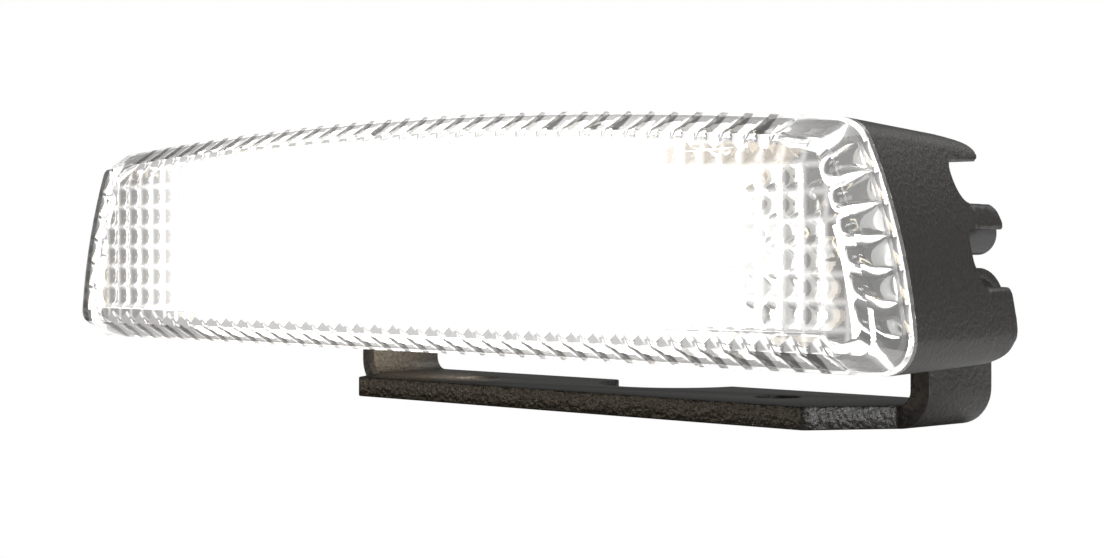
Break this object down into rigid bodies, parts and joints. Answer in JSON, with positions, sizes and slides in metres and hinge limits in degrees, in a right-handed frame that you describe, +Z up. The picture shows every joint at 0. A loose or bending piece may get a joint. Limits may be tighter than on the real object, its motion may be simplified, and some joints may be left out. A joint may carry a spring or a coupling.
{
  "type": "led driving light",
  "caption": "Slim LED driving light with a clear pillow-optic lens, a finned black cast housing and a folded U bracket that lets it tilt.",
  "frame": {"origin": "midway between the two mounting holes, on the underside of the bracket base", "axes": "+Z up out of the mounting surface, +X along the lamp, the lens faces -Y"},
  "size_m": [0.1594, 0.0566, 0.0404],
  "materials": {
    "casting": "black fine-texture powder coat",
    "clear_lens": "clear moulded polycarbonate",
    "rubber": "matte black",
    "bright_tray": "metallised plastic",
    "board": "white solder mask on a metal core",
    "pad": "soft grey pad",
    "ceramic": "white ceramic",
    "led_dome": "clear silicone over phosphor",
    "zinc": "zinc plated",
    "ferrite": "dark ferrite",
    "can": "drawn can",
    "chip": "moulded resin",
    "terminal": "natural plastic",
    "gland": "smooth black moulding",
    "nut": "nickel plated",
    "membrane": "white membrane",
    "bracket_steel": "black fine-texture powder coat",
    "black_steel": "black oxide",
    "nylon": "black nylon"
  },
  "bodies": {
    "bracket": {"bracket": "bracket_steel"},
    "lamp": {"housing": "casting", "lens": "clear_lens", "lens_seal": "rubber", "reflector": "bright_tray", "led_board": "board", "thermal_pad": "pad", "led_packages": "ceramic", "led_domes": "led_dome", "board_screws": "zinc", "reflector_screws": "zinc", "driver_coil": "ferrite", "driver_capacitors": "can", "driver_chips": "chip", "protection_diode": "chip", "supply_terminal": "terminal", "cable_gland": "gland", "gland_ring": "rubber", "gland_nut": "nut", "vent_plug": "gland", "vent_membrane": "membrane", "pivot_screws": "black_steel", "friction_washers": "nylon"}
  },
  "joints": [
    {"name": "lamp_tilt", "type": "hinge", "parent": "bracket", "child": "lamp", "pos_m": [0, 0.0094, 0.0145], "axis": [-1, 0, 0], "range_deg": [-14, 90]}
  ]
}
